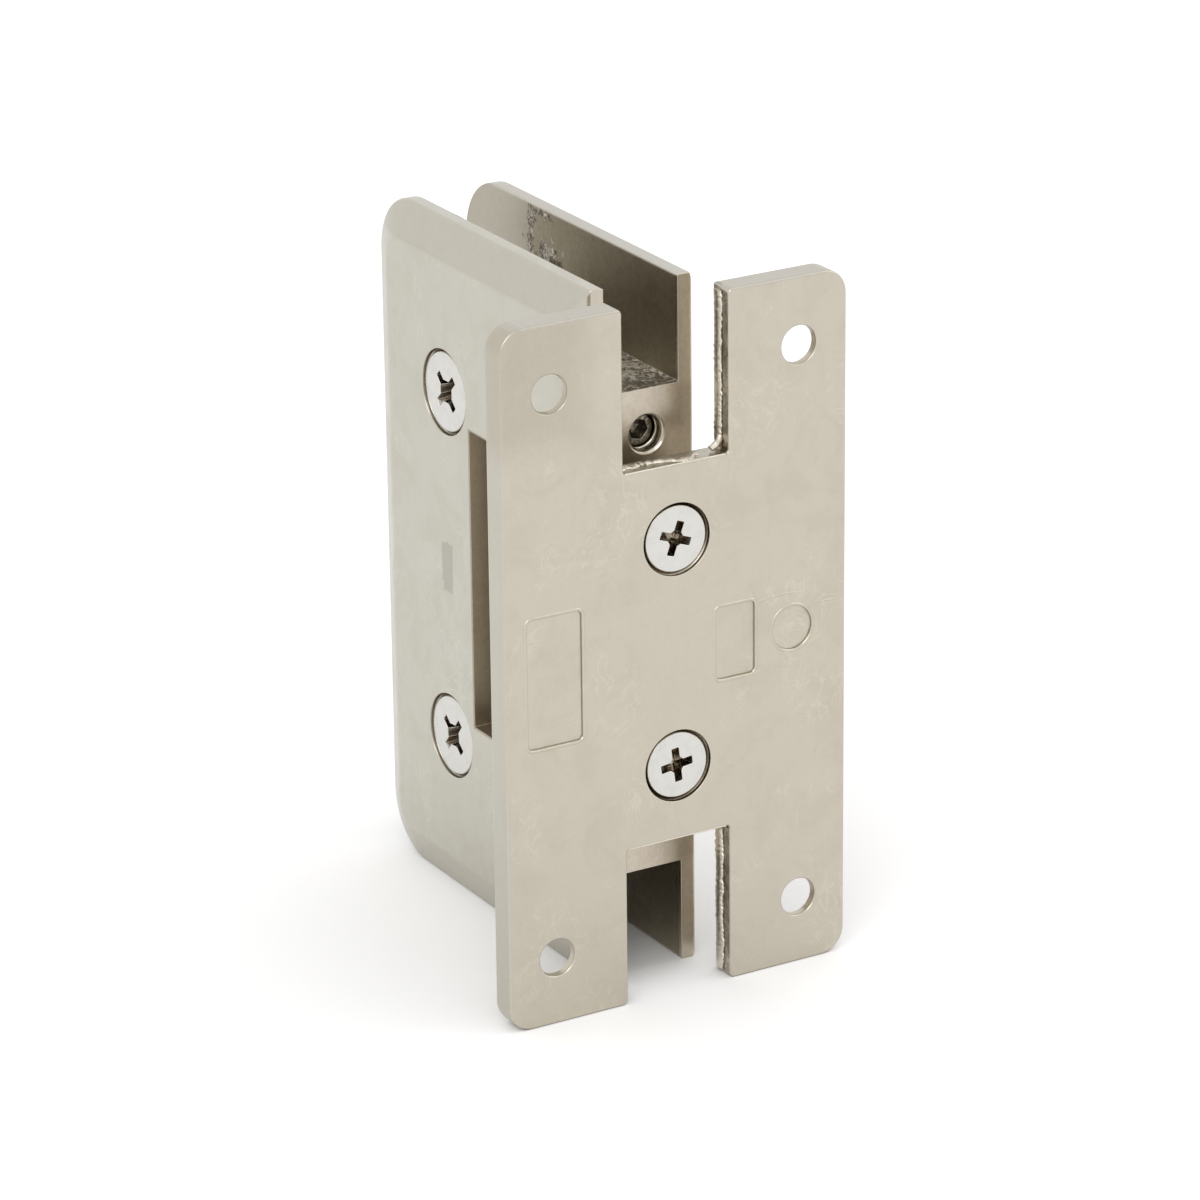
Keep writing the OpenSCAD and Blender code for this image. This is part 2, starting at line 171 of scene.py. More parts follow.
for name, power, place in (("key_box", 5.5, (-0.75, -0.75, 1.0)), ("fill_box", 2.0, (1.0, -0.55, 0.8))):
    box_light = bpy.data.lights.new(name, "AREA")
    box_light.shape = "SQUARE"
    box_light.size = 0.9
    box_light.energy = power
    soft_box = linked(name, box_light)
    soft_box.location = place
    soft_box.rotation_euler = Vector(place).to_track_quat("Z", "Y").to_euler()


# Wall plate
# The H-shaped back plate that is screwed to the wall: cast brass, tumbled so
# that its edges are soft, and plated with satin nickel that shows the casting's
# cloudy waves. Its marking fields are left bare.
plate_x, plate_y, plate_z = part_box("wall_plate")[1] / MM
notch_x, notch_z = 7.3, 24.0


def joined_copy(node, name):
    """The CAD node's surface as one mesh, its loose triangles joined and its flat faces whole."""
    form = bmesh.new()
    form.from_mesh(nodes[node].data)
    bmesh.ops.remove_doubles(form, verts=form.verts, dist=0.001 * MM)
    bmesh.ops.dissolve_limit(form, angle_limit=math.radians(0.3), verts=form.verts, edges=form.edges)
    return set_down(name, form)


def applied(piece):
    """Turns a piece's modifiers into plain mesh."""
    graph = bpy.context.evaluated_depsgraph_get()
    mesh = bpy.data.meshes.new_from_object(piece.evaluated_get(graph))
    if piece.type == "MESH":
        piece.modifiers.clear()
        piece.data = mesh
        return piece
    name = piece.name
    solid = linked(name, mesh)
    bpy.data.objects.remove(piece)
    solid.name = name
    return solid


def rounded(piece, radius_at, steps=3):
    """Rounds the edges by the millimetres that radius_at gives for their middle and angle."""
    flattest, hard = 15, 40
    form = bmesh.new()
    form.from_mesh(piece.data)
    weight = form.edges.layers.float.new("bevel_weight_edge")
    radii = {}
    for edge in form.edges:
        angle = math.degrees(edge.calc_face_angle(0))
        if angle > flattest:
            middle = (edge.verts[0].co + edge.verts[1].co) / 2 / MM
            radii[edge] = radius_at(middle, angle)
            edge.smooth = radii[edge] > 0 or angle < hard
    widest = max(radii.values())
    for edge, radius in radii.items():
        edge[weight] = radius / widest
    for face in form.faces:
        face.smooth = True
    form.to_mesh(piece.data)
    form.free()
    bevel = piece.modifiers.new("rounded", "BEVEL")
    bevel.limit_method = "WEIGHT"
    bevel.width = widest * MM
    bevel.segments = steps
    bevel.use_clamp_overlap = False
    bevel.loop_slide = False
    bevel.miter_outer = "MITER_ARC"
    normals = piece.modifiers.new("even", "WEIGHTED_NORMAL")
    normals.keep_sharp = True
    return applied(piece)


def plated(piece, material):
    """Gives a piece its only material."""
    piece.data.materials.clear()
    piece.data.materials.append(material)


def effect_group(name, takes, gives):
    """Shader node group with named inputs and outputs: its tree, what it takes and what it gives."""
    tree = bpy.data.node_groups.new(name, "ShaderNodeTree")
    for socket, default in takes.items():
        kind = "NodeSocketFloat" if isinstance(default, float) else "NodeSocketVector"
        made = tree.interface.new_socket(socket, in_out="INPUT", socket_type=kind)
        made.default_value = default
    for socket in gives:
        tree.interface.new_socket(socket, in_out="OUTPUT", socket_type="NodeSocketFloat")
    return tree, put(tree, "NodeGroupInput").outputs, put(tree, "NodeGroupOutput").inputs


def vectors(tree, operation, *values):
    """Vector that a Vector Math node puts out."""
    return put(tree, "ShaderNodeVectorMath", dict(enumerate(values)), operation=operation).outputs[0]


def noise_value(tree, vector, scale, detail=3.0, roughness=0.55, distortion=0.0):
    """Height of a noise pattern."""
    return put(tree, "ShaderNodeTexNoise", {"Vector": vector, "Scale": scale, "Detail": detail,
               "Roughness": roughness, "Distortion": distortion}).outputs["Fac"]


def ramp(tree, value, low, high, to_low=0.0, to_high=1.0):
    """A value taken from one range to another, with soft ends."""
    return put(tree, "ShaderNodeMapRange", {"Value": value, "From Min": low, "From Max": high,
               "To Min": to_low, "To Max": to_high}, interpolation_type="SMOOTHSTEP").outputs[0]


# Edges, where the rounded normal leaves the face's own: a mask for painted
# highlights along them, and for the wear that rubbing leaves there.
edge_wear_and_sheen, takes, gives = effect_group("edge_wear_and_sheen", {"Radius": 0.0005, "Gain": 5.0}, ["Mask"])
soft_normal = put(edge_wear_and_sheen, "ShaderNodeBevel", {"Radius": takes["Radius"]}, samples=4).outputs[0]
own_normal = put(edge_wear_and_sheen, "ShaderNodeNewGeometry").outputs["Normal"]
likeness = put(edge_wear_and_sheen, "ShaderNodeVectorMath", {0: soft_normal, 1: own_normal},
               operation="DOT_PRODUCT").outputs["Value"]
leaning = maths(edge_wear_and_sheen, "SUBTRACT", 1.0, likeness)
gained = put(edge_wear_and_sheen, "ShaderNodeMath", {0: leaning, 1: takes["Gain"]},
             operation="MULTIPLY", use_clamp=True).outputs[0]
edge_wear_and_sheen.links.new(gained, gives["Mask"])

# Cloudy plating: broad waves of the casting under it, a finer flame on them, and
# pale curled flakes that lie in patches.
cloudy_plating, takes, gives = effect_group(
    "cloudy_plating", {"Vector": (0, 0, 0), "Broad": 70.0, "Fine": 420.0},
    ["Waves", "Cloud", "Flame", "Flakes"])
spot, broad, fine = takes["Vector"], takes["Broad"], takes["Fine"]
waves = noise_value(cloudy_plating, spot, broad, 2.0, 0.4, 0.3)
cloud = noise_value(cloudy_plating, spot, maths(cloudy_plating, "MULTIPLY", broad, 2.2), 6.0, 0.66, 0.6)
flame = noise_value(cloudy_plating, spot, fine, 5.0, 0.6, 2.0)
curl = noise_value(cloudy_plating, spot, maths(cloudy_plating, "MULTIPLY", fine, 0.45), 3.0, 0.5, 2.6)
curl = maths(cloudy_plating, "ABSOLUTE", maths(cloudy_plating, "SUBTRACT", curl, 0.5))
curl = ramp(cloudy_plating, curl, 0.0, 0.03, to_low=1.0, to_high=0.0)
patches = noise_value(cloudy_plating, spot, maths(cloudy_plating, "MULTIPLY", broad, 1.3), 2.0, 0.5, 0.4)
patches = ramp(cloudy_plating, patches, 0.48, 0.62)
cloudy_plating.links.new(waves, gives["Waves"])
cloudy_plating.links.new(ramp(cloudy_plating, cloud, 0.42, 0.66), gives["Cloud"])
cloudy_plating.links.new(ramp(cloudy_plating, flame, 0.5, 0.72), gives["Flame"])
cloudy_plating.links.new(maths(cloudy_plating, "MULTIPLY", curl, patches), gives["Flakes"])

# Brushed grain: long fine lines along Z, made by noise stretched that way.
brushed_grain, takes, gives = effect_group(
    "brushed_grain", {"Vector": (0, 0, 0), "Across": 9000.0, "Along": 250.0}, ["Lines", "Streaks"])
stretch = put(brushed_grain, "ShaderNodeCombineXYZ",
              {0: takes["Across"], 1: takes["Across"], 2: takes["Along"]}).outputs[0]
stretched = vectors(brushed_grain, "MULTIPLY", takes["Vector"], stretch)
brushed_grain.links.new(noise_value(brushed_grain, stretched, 1.0, 3.0, 0.6), gives["Lines"])
brushed_grain.links.new(noise_value(brushed_grain, stretched, 0.16, 3.0, 0.65), gives["Streaks"])

# Painted shade: corners, creases and recesses darkened by how closed in they are.
painted_corner_shade, takes, gives = effect_group("painted_corner_shade", {"Reach": 0.0008}, ["Mask"])
shade = put(painted_corner_shade, "ShaderNodeAmbientOcclusion", {"Distance": takes["Reach"]}, samples=4)
painted_corner_shade.links.new(maths(painted_corner_shade, "SUBTRACT", 1.0, shade.outputs["AO"]), gives["Mask"])

# A box-shaped region of a casting, for what only some of its faces have.
region, takes, gives = effect_group(
    "region", {"Vector": (0, 0, 0), "Centre": (0, 0, 0), "Half": (1, 1, 1), "Softness": 0.0002}, ["Mask"])
offset = vectors(region, "SUBTRACT", takes["Vector"], takes["Centre"])
beyond = vectors(region, "SUBTRACT", vectors(region, "ABSOLUTE", offset), takes["Half"])
sides = put(region, "ShaderNodeSeparateXYZ", {0: beyond}).outputs
farthest = maths(region, "MAXIMUM", maths(region, "MAXIMUM", sides[0], sides[1]), sides[2])
region.links.new(ramp(region, farthest, takes["Softness"], 0.0), gives["Mask"])


def grouped(tree, group, **inputs):
    """Places an effect group in a material and returns its outputs."""
    return put(tree, "ShaderNodeGroup", inputs, node_tree=group).outputs


def blended(tree, mask, low, high):
    """A colour between two, by a mask."""
    factor, first_colour, second_colour, result = 0, 6, 7, 2
    low, high = (end if isinstance(end, bpy.types.NodeSocket) else (*end, 1) for end in (low, high))
    return put(tree, "ShaderNodeMix", {factor: mask, first_colour: low, second_colour: high},
               data_type="RGBA").outputs[result]


def mixed(tree, mask, low, high):
    """A value between two, by a mask."""
    return put(tree, "ShaderNodeMix", {0: mask, 2: low, 3: high}).outputs[0]


def added(tree, *terms):
    """Sum of values, each with its weight."""
    total = None
    for value, weight in terms:
        part = maths(tree, "MULTIPLY", value, weight)
        total = part if total is None else maths(tree, "ADD", total, part)
    return total


def own_place(tree):
    """The piece's own coordinates, in metres."""
    return put(tree, "ShaderNodeTexCoord").outputs["Object"]


def surface(tree, shader, colour, roughness, height, depth=1.0):
    """Links a material's colour, roughness and relief. depth is a height of 1 in metres."""
    tree.links.new(colour, shader.inputs["Base Color"])
    tree.links.new(roughness, shader.inputs["Roughness"])
    bump = put(tree, "ShaderNodeBump", {"Height": height, "Distance": depth})
    tree.links.new(bump.outputs[0], shader.inputs["Normal"])


def patch(centre, half, softness=0.1, ragged=(0, 0, 0)):
    """Box on a casting: its centre, half size, soft margin and how ragged its limits are."""
    return centre, half, softness, ragged


def both_ends(centre, half, softness=0.1, ragged=(0, 0, 0)):
    """The same box at the upper and at the lower end of the hinge."""
    x, y, z = centre
    return [patch((x, y, end * z), half, softness, ragged) for end in (1, -1)]


def skin(boxes, light, dark, rough, chips=0.0, brush=0.0, turn=0.0, step=0.0):
    """Finish of its own for the faces of a casting that lie in some boxes.

    chips, brush and step are heights in millimetres: of the cast relief, of brushed
    lines turned by some degrees about X, and of the skin itself.
    """
    return {"boxes": boxes, "light": light, "dark": dark, "rough": rough,
            "chips": chips, "brush": brush, "turn": turn, "step": step}


def skin_mask(tree, place, wander, boxes):
    """1 in any of the boxes, with ragged limits."""
    mask = None
    for centre, half, softness, ragged in boxes:
        moved = place
        if any(ragged):
            moved = vectors(tree, "MULTIPLY_ADD", wander, [r * MM for r in ragged], place)
        found = grouped(tree, region, Vector=moved, Centre=[c * MM for c in centre],
                        Half=[h * MM for h in half], Softness=softness * MM)["Mask"]
        mask = found if mask is None else maths(tree, "MAXIMUM", mask, found)
    return mask


def cast_nickel(name, light, dark, corner_shade_colour, waves, brush, rough, reach, skins=()):
    """Satin nickel on cast brass: cloudy colour, wavy surface, fine grain, and painted light: edges lightened
    as a highlight, corners darkened as shade.

    waves and brush are heights and reach is the painted corner shade's reach, in millimetres. Each
    skin lies over the ones before it.
    """
    material, tree, shader = principled(name, Metallic=1.0)
    place = own_place(tree)
    plating = grouped(tree, cloudy_plating, Vector=place)
    grain = grouped(tree, brushed_grain, Vector=place)
    edges = grouped(tree, edge_wear_and_sheen)["Mask"]
    corners = grouped(tree, painted_corner_shade, Reach=reach * MM)["Mask"]
    pale = [min(1, c * 1.12) for c in light]
    tone = added(tree, (plating["Cloud"], 0.5), (plating["Flame"], 0.25), (grain["Streaks"], 0.3))
    colour = blended(tree, tone, light, dark)
    colour = blended(tree, maths(tree, "MULTIPLY", plating["Flakes"], 0.6), colour, pale)
    # Painted shade: the corners darkened.
    colour = blended(tree, ramp(tree, corners, 0.25, 0.95, to_high=0.7), colour, corner_shade_colour)
    roughness = ramp(tree, tone, 0.1, 0.9, *rough)
    rolling = maths(tree, "MULTIPLY", plating["Waves"], waves * MM)
    height = added(tree, (rolling, 1.0), (plating["Flame"], waves * 0.03 * MM),
                   (plating["Flakes"], waves * 0.04 * MM), (grain["Lines"], brush * MM))
    wander = put(tree, "ShaderNodeTexNoise", {"Vector": place, "Scale": 600.0, "Detail": 5.0,
                 "Roughness": 0.7}).outputs["Color"]
    wander = vectors(tree, "SUBTRACT", wander, (0.5, 0.5, 0.5))
    chips = noise_value(tree, place, 1100.0, 4.0, 0.65, 1.5)
    coarse_chips = 0.05
    brushings = {0: grain}
    for own in skins:
        mask = skin_mask(tree, place, wander, own["boxes"])
        if own["turn"] not in brushings:
            angle = math.radians(own["turn"])
            turned = put(tree, "ShaderNodeVectorRotate", {"Vector": place, "Angle": angle},
                         rotation_type="X_AXIS").outputs[0]
            brushings[own["turn"]] = grouped(tree, brushed_grain, Vector=turned)
        marks = brushings[own["turn"]]
        tone = added(tree, (ramp(tree, chips, 0.38, 0.62), 0.4), (marks["Streaks"], 0.4),
                     (plating["Cloud"], 0.3))
        if own["chips"] > coarse_chips:
            tone = ramp(tree, tone, 0.2, 0.65)
        colour = blended(tree, mask, colour, blended(tree, tone, own["light"], own["dark"]))
        roughness = mixed(tree, mask, roughness, own["rough"])
        relief = added(tree, (rolling, 1.0), (chips, own["chips"] * MM), (marks["Lines"], own["brush"] * MM),
                       (1.0, own["step"] * MM))
        height = mixed(tree, mask, height, relief)
    # Painted highlight: the rounded edges lightened toward the pale colour.
    colour = blended(tree, maths(tree, "MULTIPLY", edges, 0.12), colour, pale)
    surface(tree, shader, colour, roughness, height)
    return material


# The plate's left side has the cover's tint, a painted light: it faces the way the cover does. Its ends are
# polished.
left_side_lit = skin([patch((-plate_x, 2, 0), (0.2, 2.4, 45), 0.2)],
                 light=(0.575, 0.55, 0.475), dark=(0.54, 0.51, 0.435), rough=0.32)
upper_left = skin([patch((-19, 0, 38), (3, 0.3, 5), 7.0)],
                  light=(0.53, 0.488, 0.405), dark=(0.49, 0.45, 0.37), rough=0.36, brush=0.0012)
upper_end = skin([patch((0, 2, plate_z), (25, 2.4, 0.2), 0.2)],
                 light=(0.555, 0.525, 0.46), dark=(0.505, 0.475, 0.41), rough=0.3)
# The notches' walls are filed in front of the flash, and their floors are wiped
# clean. The dark line at the flash's foot and the dark notch corner are painted
# shade. A box round a wall reaches just into the metal.
wall_x, wall_mid_z, wall_half_z = notch_x + 0.03, 34.3, 10.1
filed_walls = skin(both_ends((0, 1.08, wall_mid_z), (wall_x, 0.83, wall_half_z), 0.08, (0, 0.5, 0)),
                   light=(0.76, 0.70, 0.59), dark=(0.22, 0.18, 0.13), rough=0.45,
                   chips=0.05, brush=0.025, turn=35)
rear_walls = skin(both_ends((0, 3.35, wall_mid_z), (wall_x, 0.7, wall_half_z), 0.08, (0, 0.2, 0)),
                  light=(0.50, 0.43, 0.34), dark=(0.30, 0.245, 0.18), rough=0.4, chips=0.01, brush=0.012)
wiped_floors = skin(both_ends((0, 1.9, notch_z), (7.1, 1.9, 0.1), 0.08, (0, 0.3, 0)),
                    light=(0.60, 0.56, 0.48), dark=(0.44, 0.40, 0.325), rough=0.36, chips=0.03)
rear_floors = skin(both_ends((-2, 3.3, notch_z), (6, 0.7, 0.1), 0.08, (0, 0.5, 0)),
                   light=(0.50, 0.455, 0.375), dark=(0.36, 0.32, 0.25), rough=0.38, chips=0.03)
painted_foot_shade = skin(both_ends((0, 1.5, wall_mid_z), (wall_x, 0.1, 9.6), 0.08, (0, 0.4, 0))
              + both_ends((7.25, 1.0, 24.2), (0.3, 0.5, 0.35), 0.15, (0.5, 0.5, 0.5)),
              light=(0.22, 0.18, 0.13), dark=(0.11, 0.09, 0.06), rough=0.6, chips=0.06)
# Painted shade: the countersinks round the block screws are dark.
screw_gap_shade = skin([patch((0, 1.0, 0), (4.9, 0.86, 22), 0.06)],
                      light=(0.26, 0.215, 0.155), dark=(0.14, 0.11, 0.075), rough=0.4)
middle_face = skin([patch((0, 0, 0), (4.5, 0.2, 12), 2.0)],
                   light=(0.60, 0.555, 0.47), dark=(0.565, 0.52, 0.435), rough=0.36, brush=0.004)
plate_nickel = cast_nickel(
    "plate_nickel", light=(0.59, 0.548, 0.462), dark=(0.55, 0.505, 0.42), corner_shade_colour=(0.20, 0.165, 0.115),
    waves=0.12, brush=0.0012, rough=(0.30, 0.44), reach=0.5,
    skins=[left_side_lit, upper_left, upper_end, filed_walls, rear_walls, wiped_floors, rear_floors, painted_foot_shade,
           screw_gap_shade, middle_face])


def plate_edge_radius(middle, angle):
    """Soft edges along the plate's outline on the wall face, keener ones at the marking fields.

    The edges of the room side are round in the CAD node itself.
    """
    bluntest, face_y, soft, keen = 25, 0.05, 0.25, 0.1
    if angle < bluntest or middle.y > face_y:
        return 0.0
    at_end_or_notch = abs(middle.z) > notch_z - 0.6
    at_side = abs(middle.x) > plate_x - 0.8
    return soft if at_end_or_notch or at_side else keen


wall_plate = rounded(joined_copy("wall_plate", "back_plate"), plate_edge_radius)
plated(wall_plate, plate_nickel)
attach(wall_plate, "wall_side")
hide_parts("wall_plate")


# Clamp body
# Rear plate and core of the glass clamp, one brass casting. Its outside is
# brushed, and the faces between the plates keep the foundry's skin under the
# nickel, because the glass hides them.
clamp_x, clamp_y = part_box("clamp_body")[1].x / MM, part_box("clamp_body")[0].y / MM
glass_x, core_z, knuckle_z = 5.1, 31.1, 25.35


def gap_skins(side):
    """Skins of a clamp plate's inner faces: bare behind the glass, the foundry's skin near the core."""
    inner = side * glass_x
    behind_glass = skin([patch((inner, 52, 0), (0.12, 9, 46))],
                        light=(0.47, 0.435, 0.36), dark=(0.42, 0.385, 0.31), rough=0.34, brush=0.003)
    foundry_skin = skin([patch((side * 2.5, 22, 0), (2.68, 13.4, 46), 0.15),
                         patch((side * 2.5, 34, 0), (2.68, 9.7, 46), 0.15, (0, 6, 0))],
                        light=(0.46, 0.417, 0.322), dark=(0.335, 0.286, 0.208), rough=0.36,
                        chips=0.006, step=0.03)
    speckles = skin(both_ends((inner, 42.9, 40), (0.12, 0.5, 7), 0.25, (0, 9, 6))
                    + both_ends((inner, 38.4, 37.9), (0.12, 1.8, 1.6), 0.3, (0, 9, 9))
                    + both_ends((inner, 40.5, 43.7), (0.12, 2.6, 0.3), 0.2, (0, 4, 3)),
                    light=(0.74, 0.69, 0.59), dark=(0.15, 0.12, 0.085), rough=0.36, chips=0.5)
    blotch = skin(both_ends((inner, 36.9, 37.3), (0.12, 1.3, 1.2), 0.25, (0, 3, 3)),
                  light=(0.22, 0.18, 0.125), dark=(0.08, 0.065, 0.045), rough=0.4, chips=0.1)
    window = skin([patch((side * 5, 21.5, 0), (4.5, 13.3, 19.8), 0.15)],
                  light=(0.44, 0.39, 0.31), dark=(0.37, 0.32, 0.245), rough=0.4, chips=0.01)
    return [behind_glass, foundry_skin, speckles, blotch, window]


rear_ends = skin(both_ends((7, 27, 44.6), (2.6, 26, 0.25), 0.2),
                 light=(0.58, 0.56, 0.495), dark=(0.53, 0.505, 0.44), rough=0.34)
core_face = skin([patch((0, clamp_y, 0), (9.2, 0.25, 46), 0.15)],
                 light=(0.655, 0.595, 0.505), dark=(0.53, 0.46, 0.37), rough=0.28, brush=0.007)
# Painted reflection: the core's face browner and darker toward its right.
core_right_reflection = skin([patch((7.8, clamp_y, 0), (2.2, 0.3, 30), 1.8)],
                  light=(0.57, 0.50, 0.41), dark=(0.45, 0.38, 0.295), rough=0.3, brush=0.007)
shelves = skin(both_ends((0, 27.5, core_z), (5.05, 19.4, 0.14), 0.08),
               light=(0.86, 0.81, 0.71), dark=(0.20, 0.17, 0.125), rough=0.34, chips=0.4)
clamp_nickel = cast_nickel(
    "clamp_nickel", light=(0.60, 0.555, 0.48), dark=(0.54, 0.49, 0.415), corner_shade_colour=(0.22, 0.18, 0.13),
    waves=0.08, brush=0.0025, rough=(0.22, 0.34), reach=0.6,
    skins=gap_skins(1) + [rear_ends, core_face, core_right_reflection, shelves])


def clamp_edge_radius(middle, angle):
    """Rounded rims, a soft ridge where the bevel starts, keen edges at the core and the holes.

    The mouth of the tapped hole is a piece of its own, so its edges stay sharp here.
    """
    from_mouth_x, from_mouth_z = abs(middle.x), abs(middle.z - knuckle_z)
    if from_mouth_x < 3.5 and from_mouth_z < 3 and middle.y < clamp_y + 0.2:
        return 0.0
    sharpest_ridge = 30
    if angle < sharpest_ridge:
        return 0.6
    rear_y, corner_z, inside_x = 51.5, 36.4, 6.9
    at_front = middle.y < clamp_y + 0.1
    inside = abs(middle.x) < inside_x
    if at_front and inside:
        return 0.06
    if at_front or middle.y > rear_y or abs(middle.z) > corner_z:
        return 0.2 if inside else 0.4
    return 0.12


clamp_body = rounded(joined_copy("clamp_body", "clamp_casting"), clamp_edge_radius)
plated(clamp_body, clamp_nickel)
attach(clamp_body, "glass_side")
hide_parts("clamp_body")


# Cover plate
# The clamp's front plate, brass with brushed nickel. The brushing runs up and
# down, over the mitred bevels too.
bevelled_ends = skin(both_ends((-8, 33, 43), (1.2, 27, 3.1), 0.12),
                     light=(0.565, 0.54, 0.468), dark=(0.53, 0.503, 0.43), rough=0.32)
front_end = skin([patch((-7, clamp_y, 0), (2.2, 0.25, 46), 0.15)],
                 light=(0.60, 0.545, 0.465), dark=(0.54, 0.48, 0.40), rough=0.3)
dull_spot = skin([patch((-clamp_x, 40.8, 0.3), (0.2, 1.25, 2.6), 0.25, (0, 0.5, 2.2)),
                  patch((-clamp_x, 40.65, -0.6), (0.2, 0.95, 2.6), 0.4, (0, 0.8, 1.2))],
                 light=(0.49, 0.472, 0.41), dark=(0.46, 0.442, 0.382), rough=0.42)
cover_nickel = cast_nickel(
    "cover_nickel", light=(0.58, 0.56, 0.488), dark=(0.54, 0.517, 0.445), corner_shade_colour=(0.30, 0.27, 0.22),
    waves=0.05, brush=0.0025, rough=(0.28, 0.36), reach=0.5,
    skins=gap_skins(-1) + [bevelled_ends, front_end, dull_spot])
cover_plate = rounded(joined_copy("cover_plate", "front_cover"), clamp_edge_radius)
plated(cover_plate, cover_nickel)
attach(cover_plate, "glass_side")
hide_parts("cover_plate")


# Countersunk screws
# Steel screws with a crossed recess, cold headed and plated bright. Two go
# through the wall plate into the pivot block, two through the cover into the
# core. One head is formed and set twice, each turned as it stopped.
def lofted(form, rings, closed=False):
    """Adds a solid through rings of corners, with flat ends or closed on itself."""
    made = [[form.verts.new(corner) for corner in corners] for corners in rings]
    for lower, upper in zip(made, made[1:] + (made[:1] if closed else [])):
        for i in range(len(lower)):
            j = (i + 1) % len(lower)
            form.faces.new((lower[i], lower[j], upper[j], upper[i]))
    if not closed:
        form.faces.new(made[0][::-1])
        form.faces.new(made[-1])


def turned(outline, sides=64, turn=0.0, closed=False):
    """Form about the Z axis through an outline of radii and heights, round or with a few sides."""
    angles = [turn + math.tau * i / sides for i in range(sides)]
    form = bmesh.new()
    lofted(form, [[(r * math.cos(a), r * math.sin(a), z) for a in angles] for r, z in outline], closed)
    return form


def new_piece(name, form):
    """Object from a form that was made in millimetres."""
    bmesh.ops.scale(form, vec=(MM, MM, MM), verts=form.verts)
    bmesh.ops.recalc_face_normals(form, faces=form.faces)
    return set_down(name, form)


def cut_out(piece, tool):
    """Takes a tool's shape out of a piece."""
    boolean = piece.modifiers.new("cut", "BOOLEAN")
    boolean.object = tool
    boolean.solver = "EXACT"
    applied(piece)
    bpy.data.objects.remove(tool)


def screw_size(node, along):
    """Head diameter and length of a screw node in millimetres, and the middle of its head's face."""
    low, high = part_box(node)
    face = (low + high) / 2
    face[along] = low[along]
    return (high.z - low.z) / MM, (high[along] - low[along]) / MM, face


def fine_edges(radius):
    """Radius for the edges of a small turned piece, and none for its facets."""
    facet = 30
    return lambda middle, angle: radius if angle > facet else 0.0


def crossed_screw(name, head_d, length, thread_d, cross_d, arm_w, heart_r, depth):
    """Countersunk screw along Z, the face of its head at z = 0, with a crossed recess."""
    head_r, thread_r = head_d / 2, thread_d / 2
    land, point = 0.58, 0.6
    neck = land + head_r - thread_r
    screw = new_piece(name, turned([
        (head_r - 0.14, 0), (head_r - 0.04, 0.05), (head_r, 0.16), (head_r, land), (thread_r, neck),
        (thread_r, length - point), (thread_r - 0.5, length)]))
    above, tip_slope, side_slope = -0.5, 0.35, 0.06
    for turn in (0, 90):
        rings = []
        for z in (above, depth):
            tip = cross_d / 2 - tip_slope * z
            side = arm_w / 2 - side_slope * z
            rings.append([(tip, -side, z), (tip, side, z), (-tip, side, z), (-tip, -side, z)])
        form = bmesh.new()
        lofted(form, rings)
        bmesh.ops.rotate(form, matrix=Matrix.Rotation(math.radians(turn), 3, "Z"), verts=form.verts)
        cut_out(screw, new_piece("arm", form))
    heart_line = [(heart_r, above), (heart_r * 0.72, depth + 0.1), (0.1, depth + 0.6)]
    cut_out(screw, new_piece("heart", turned(heart_line, sides=8, turn=math.tau / 16)))
    return rounded(screw, fine_edges(0.07), 2)


def geometry_tree(name, takes):
    """Geometry Nodes tree with named inputs: the tree, what it takes and what it gives."""
    tree = bpy.data.node_groups.new(name, "GeometryNodeTree")
    tree.interface.new_socket("Geometry", in_out="INPUT", socket_type="NodeSocketGeometry")
    tree.interface.new_socket("Geometry", in_out="OUTPUT", socket_type="NodeSocketGeometry")
    kinds = {float: "NodeSocketFloat", int: "NodeSocketInt", tuple: "NodeSocketVector",
             type(None): "NodeSocketMaterial"}
    for socket, default in takes.items():
        made = tree.interface.new_socket(socket, in_out="INPUT", socket_type=kinds[type(default)])
        if default is not None:
            made.default_value = default
    return tree, put(tree, "NodeGroupInput").outputs, put(tree, "NodeGroupOutput").inputs


def finished_tree(tree, geometry, material, gives):
    """Ends a tree: real geometry, smooth, with its material."""
    real = put(tree, "GeometryNodeRealizeInstances", {"Geometry": geometry}).outputs[0]
    smooth = put(tree, "GeometryNodeSetShadeSmooth", {"Geometry": real}).outputs[0]
    made = put(tree, "GeometryNodeSetMaterial", {"Geometry": smooth, "Material": material}).outputs[0]
    tree.links.new(made, gives["Geometry"])


def grown(piece, tree, values):
    """Runs a tree on a piece with these values and keeps the result as plain mesh."""
    modifier = piece.modifiers.new(tree.name, "NODES")
    modifier.node_group = tree
    for socket in tree.interface.items_tree:
        if socket.in_out == "INPUT" and socket.name in values:
            modifier[socket.identifier] = values[socket.name]
    return applied(piece)


screw_pair, takes, gives = geometry_tree("screw_pair", {
    "First place": (0.0, 0.0, 0.0), "Second place": (0.0, 0.0, 0.0), "Facing": (0.0, 0.0, 0.0),
    "First turn": 0.0, "Second turn": 0.0, "Material": None})
places = put(screw_pair, "GeometryNodeMeshLine", {"Count": 2, "Start Location": takes["First place"],
             "Offset": takes["Second place"]}, mode="END_POINTS").outputs[0]
heads = put(screw_pair, "GeometryNodeInstanceOnPoints", {"Points": places,
            "Instance": takes["Geometry"]}).outputs[0]
which = put(screw_pair, "GeometryNodeInputIndex").outputs[0]
turn_step = maths(screw_pair, "SUBTRACT", takes["Second turn"], takes["First turn"])
turn = maths(screw_pair, "MULTIPLY_ADD", which, turn_step, takes["First turn"])
turns = put(screw_pair, "ShaderNodeCombineXYZ", {2: turn}).outputs[0]
for rotation in (takes["Facing"], turns):
    heads = put(screw_pair, "GeometryNodeRotateInstances", {"Instances": heads, "Rotation": rotation,
                "Local Space": True}).outputs[0]
finished_tree(screw_pair, heads, takes["Material"], gives)

